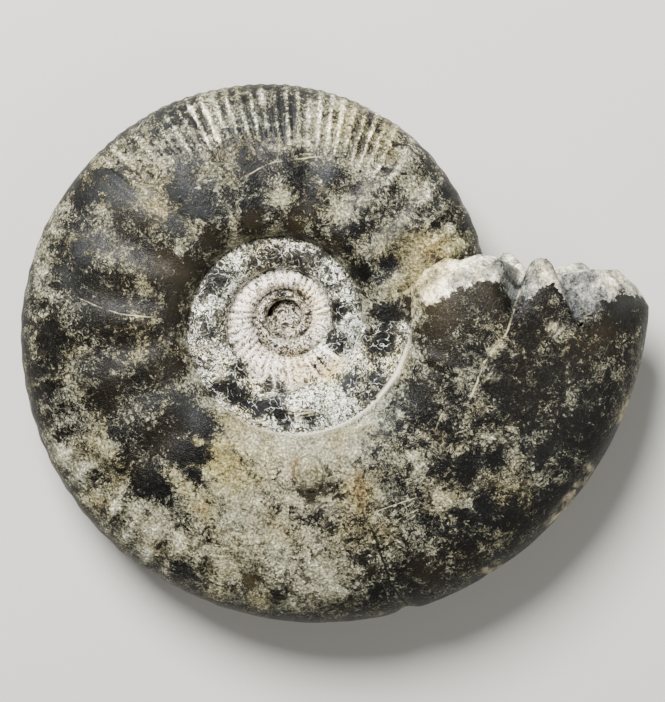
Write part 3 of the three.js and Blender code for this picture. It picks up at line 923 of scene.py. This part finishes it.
def wall_tints(tree, marks, patterns):
    """The chamber wall, satin calcite with a frilled edge, and weathering on wall and flank."""
    lace, grain, mottle, frill = (patterns[name] for name in ("lace", "grain", "mottle", "frill"))
    wall = summed(tree, marks["wall"], [(frill, 8, 0.5), (mottle, 4, 0.5)])
    wall = add(tree, "MapRange", {"Value": wall, "From Min": -0.3, "From Max": 0.3})
    wrinkle = strokes(tree, frill, 0.5, 0.035, 0.0)
    # The wall is darker in its valleys, as painted shade
    tone = summed(tree, 0.7, [(grain, 0.5, 0.5), (mottle, 2.2, 0.5), (lace, -0.2, 0.3),
                              (wrinkle, -0.2, 0), (marks["valley"], -0.38, 0),
                              (marks["slate"], -0.3, 0)])
    satin = toned(tree, tone, [linear(colour) for colour in WALL_TONES])
    return [
        ([wall], 0.95, satin, "MIX"),
        # yellow weathering, and ochre stains
        ([marks["yellow"]], 0.6, "#f2e3ac", "MULTIPLY"),
        ([marks["stain"]], 0.6, "#d9b277", "MULTIPLY"),
        # painted shade, cool grey, in the hollows of the wall
        ([marks["valley"], mottle], 1.4, "#7f8c9c", "MULTIPLY"),
    ]


def line_tints(tree, marks, patterns, crack):
    """What is drawn in lines: veins and their net, the painted highlight along the bead, rings, the
    painted shade of the seams and the crack.
    """
    place, mottle = patterns["place"], patterns["mottle"]
    # Veins fade in and out along their way
    shake = add(tree, "TexNoise", {"Vector": place, "Scale": 1 / PATTERN["shake"], "Detail": 2})
    vein = strokes(tree, summed(tree, marks["vein"], [(shake, 4, 0.5)]), 0, 1.6, 0.5)
    whole = add(tree, "MapRange", {"Value": mottle, "From Min": 0.4, "From Max": 0.6})
    # A net of hair-thin veins, on the whorl that shows inside the last
    net = add(tree, "TexVoronoi", {"Vector": patterns["tangled"], "Scale": 1 / PATTERN["net"]},
              feature="DISTANCE_TO_EDGE")
    net = add(tree, "MapRange", {"Value": net, "From Min": 0.03, "From Max": 0.004})
    broken = add(tree, "MapRange", {"Value": patterns["frill"], "From Min": 0.45, "From Max": 0.6})
    # Dark rings round the knob, drawn out of true
    rings = summed(tree, marks["knob"], [(mottle, 0.6, 0.5)])
    rings = add(tree, "Math", {0: rings, 1: 2 * math.pi * KNOB["rings"]}, operation="MULTIPLY")
    rings = add(tree, "Math", {0: rings}, operation="SINE")
    rings = add(tree, "MapRange", {"Value": rings, "From Min": 0.2, "From Max": 0.95})
    on_knob = add(tree, "MapRange", {"Value": marks["knob"], "From Min": 1.2, "From Max": 0.8})
    return [
        ([net, marks["middle_whorls"], broken], 0.6, "#f5f3ec", "MIX"),
        # painted highlight along the bead
        ([marks["edge"]], 0.75, "#d9d0ba", "MIX"),
        ([vein, marks["veined"], whole], 0.8, "#b3a988", "MIX"),
        ([rings, on_knob], 0.6, "#3a382f", "MIX"),
        # painted shade in the crease between whorls
        ([marks["seam"]], 0.5, "#1d1812", "MIX"),
        ([crack], 0.95, "#0b0a09", "MIX"),
    ]


def tinted(tree, colour, tints):
    """The colour after all the tints, each where all its masks lie."""
    for (share, *masks), strength, tint, blend in tints:
        for factor in (*masks, strength):
            share = add(tree, "Math", {0: share, 1: factor}, operation="MULTIPLY", use_clamp=True)
        tint = (*linear(tint), 1) if isinstance(tint, str) else tint
        colour = add(tree, "Mix", {0: share, 6: colour, 7: tint}, out=2, data_type="RGBA",
                     blend_type=blend)
    return colour


def polished_limestone(stone, mark_names):
    """Limestone cast, polished by handling: a dark fine-grained ground, with pale calcite in the
    frilled sutures. The dark ground shines a little more than the pale, chalkier fronds."""
    material = bpy.data.materials.new("polished_limestone_cast")
    material.use_nodes = True
    tree = material.node_tree
    tree.nodes.clear()
    marks = {name: add(tree, "Attribute", out="Fac", attribute_name=name) for name in mark_names}
    patterns = shared_patterns(tree)
    grain = patterns["grain"]
    frond, tone = stone_tone(tree, marks, patterns, stone.frond_size / MM)
    black, shade, middle, white = (linear(colour) for colour in TONES)
    colour = toned(tree, tone, (black, stone.dark_stone, shade, middle, stone.pale_frond, white))
    crack = summed(tree, marks["crack"], [(patterns["frill"], 3, 0.5)])
    crack = strokes(tree, crack, 0, 1.3, 0.6)
    crack = add(tree, "Math", {0: crack, 1: marks["cracked"]}, operation="MULTIPLY")
    colour = tinted(tree, colour, (*ground_tints(tree, marks, patterns, frond),
                                   *wall_tints(tree, marks, patterns),
                                   *line_tints(tree, marks, patterns, crack)))
    rough = summed(tree, 0.44, [(frond, 0.16, 0), (grain, 0.3, 0.5)])
    height = summed(tree, 0.0, [(patterns["lace"], 0.05, 0), (grain, 0.08, 0), (crack, -0.6, 0)])
    bump = add(tree, "Bump", {"Height": height, "Distance": MM, "Strength": 1})
    surface = add(tree, "BsdfPrincipled", {"Base Color": colour, "Roughness": rough, "IOR": 1.5,
                                           "Specular IOR Level": 0.14, "Normal": bump})
    add(tree, "OutputMaterial", {"Surface": surface}, out=None)
    return material


# The stage

def studio_light(name, target, light, key_power):
    lamp_data = bpy.data.lights.new(name, "AREA")
    lamp_data.shape = "DISK"
    lamp_data.size = light["size"]
    lamp_data.energy = key_power * light["share"]
    lamp = bpy.data.objects.new(name, lamp_data)
    lamp.location = target + Vector(light["place"])
    lamp.rotation_euler = (target - lamp.location).to_track_quat("-Z", "Y").to_euler()
    bpy.context.scene.collection.objects.link(lamp)


def studio_floor(colour):
    bm = bmesh.new()
    bmesh.ops.create_grid(bm, x_segments=1, y_segments=1, size=FLOOR_REACH)
    floor = whole_object("floor", bm)
    material = bpy.data.materials.new("matt_card")
    material.use_nodes = True
    surface = material.node_tree.nodes["Principled BSDF"]
    surface.inputs["Base Color"].default_value = (*colour, 1)
    surface.inputs["Roughness"].default_value = 0.9
    floor.data.materials.append(material)


class AmmoniteStone(bpy.types.PropertyGroup):
    """The sizes and colours of the stone."""
    rib_scale: bpy.props.FloatProperty(
        name="Rib Height", description="Height of the ribs, as a share of the real ones",
        default=1, min=0, max=2, subtype="FACTOR")
    frond_size: bpy.props.FloatProperty(
        name="Frond Size", description="Size of the largest lobes of the pale fronds",
        default=4.5 * MM, min=1 * MM, max=20 * MM, unit="LENGTH")
    dark_stone: bpy.props.FloatVectorProperty(
        name="Dark Stone", description="Colour of the bare dark ground",
        default=linear("#141310"), min=0, max=1, size=3, subtype="COLOR")
    pale_frond: bpy.props.FloatVectorProperty(
        name="Pale Frond", description="Colour of the pale calcite fronds",
        default=linear("#b8b6a5"), min=0, max=1, size=3, subtype="COLOR")


class AmmoniteStage(bpy.types.PropertyGroup):
    """The floor, the lights and the camera."""
    floor_colour: bpy.props.FloatVectorProperty(
        name="Floor", description="Colour of the floor",
        default=linear("#a7a49e"), min=0, max=1, size=3, subtype="COLOR")
    camera_distance: bpy.props.FloatProperty(
        name="Camera Distance", description="From the middle of the stone to the camera",
        default=0.9, min=0.4, max=3, unit="LENGTH")
    view_height: bpy.props.FloatProperty(
        name="View Height", description="Height of what the picture takes in, at the stone",
        default=222 * MM, min=0.1, max=1, unit="LENGTH")
    tilt: bpy.props.FloatProperty(
        name="Tilt", description="How far from straight above the camera stands",
        default=math.radians(5.7), min=0, max=1.5, subtype="ANGLE")
    key_power: bpy.props.FloatProperty(
        name="Key Light", description="Power of the main light", default=92, min=0, max=200,
        unit="POWER")


class AMMONITE_OT_grow_stone(bpy.types.Operator):
    """Grows the coil, weathers it, lays it down and dresses it"""
    bl_idname = "ammonite.grow_stone"
    bl_label = "Grow Stone"

    def execute(self, context):
        stone = context.scene.ammonite_stone
        mesh = coil_mesh(stone.rib_scale)
        growth, across, reach = (read_mark(mesh, mark) for mark in MARKS)
        places = read_points(mesh)
        marks = finish_marks(places, growth, across, reach)
        for mark, values in marks.items():
            give_mark(mesh, mark, values)
        places = laid_down(weathered(places, read_points(mesh, "normals"), growth, across))
        mesh.vertices.foreach_set("co", (places * MM).ravel())
        mesh.name = "ammonite_stone"
        mesh.shade_smooth()
        mesh.materials.clear()
        mesh.materials.append(polished_limestone(stone, marks))
        piece = bpy.data.objects.new("ammonite_stone", mesh)
        context.scene.collection.objects.link(piece)
        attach(piece, "root")
        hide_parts("ammonite")
        return {"FINISHED"}


class AMMONITE_OT_set_stage(bpy.types.Operator):
    """Sets the floor, the soft lights and the camera around the stone"""
    bl_idname = "ammonite.set_stage"
    bl_label = "Set Stage"

    def execute(self, context):
        stage = context.scene.ammonite_stage
        low, high = (Vector(corner) for corner in CAD_BOX)
        middle = (low + high) / 2
        studio_floor(stage.floor_colour)
        for name, light in LIGHTS.items():
            studio_light(name, middle, light, stage.key_power)
        world = bpy.data.worlds.new("studio")
        world.use_nodes = True
        for name, value in SKY.items():
            world.node_tree.nodes["Background"].inputs[name].default_value = value
        context.scene.world = world
        camera = bpy.data.cameras.new("camera")
        camera.sensor_width = 36
        camera.lens = camera.sensor_width * stage.camera_distance / stage.view_height
        view = bpy.data.objects.new("camera", camera)
        target = middle + Vector(VIEW_MIDDLE) * MM
        away = Vector((0, math.sin(stage.tilt), math.cos(stage.tilt)))
        view.location = target + away * stage.camera_distance
        view.rotation_euler = (-stage.tilt, 0, 0)
        context.scene.collection.objects.link(view)
        context.scene.camera = view
        return {"FINISHED"}


class AMMONITE_PT_panel(bpy.types.Panel):
    """Lists what makes the stone and its stage"""
    bl_idname = "AMMONITE_PT_panel"
    bl_label = "Ammonite"
    bl_space_type = "VIEW_3D"
    bl_region_type = "UI"
    bl_category = "Ammonite"

    def draw(self, context):
        for title, group, operator in (
                ("Stone", context.scene.ammonite_stone, AMMONITE_OT_grow_stone),
                ("Stage", context.scene.ammonite_stage, AMMONITE_OT_set_stage)):
            box = self.layout.box()
            box.label(text=title)
            for name in group.__annotations__:
                box.prop(group, name)
            box.operator(operator.bl_idname)


CLASSES = (AmmoniteStone, AmmoniteStage, AMMONITE_OT_grow_stone, AMMONITE_OT_set_stage,
           AMMONITE_PT_panel)


def register():
    for item in CLASSES:
        bpy.utils.register_class(item)
    bpy.types.Scene.ammonite_stone = bpy.props.PointerProperty(type=AmmoniteStone)
    bpy.types.Scene.ammonite_stage = bpy.props.PointerProperty(type=AmmoniteStage)


def unregister():
    del bpy.types.Scene.ammonite_stage
    del bpy.types.Scene.ammonite_stone
    for item in reversed(CLASSES):
        bpy.utils.unregister_class(item)


def main():
    register()
    bpy.ops.ammonite.grow_stone()
    bpy.ops.ammonite.set_stage()


if __name__ == "__main__":
    main()
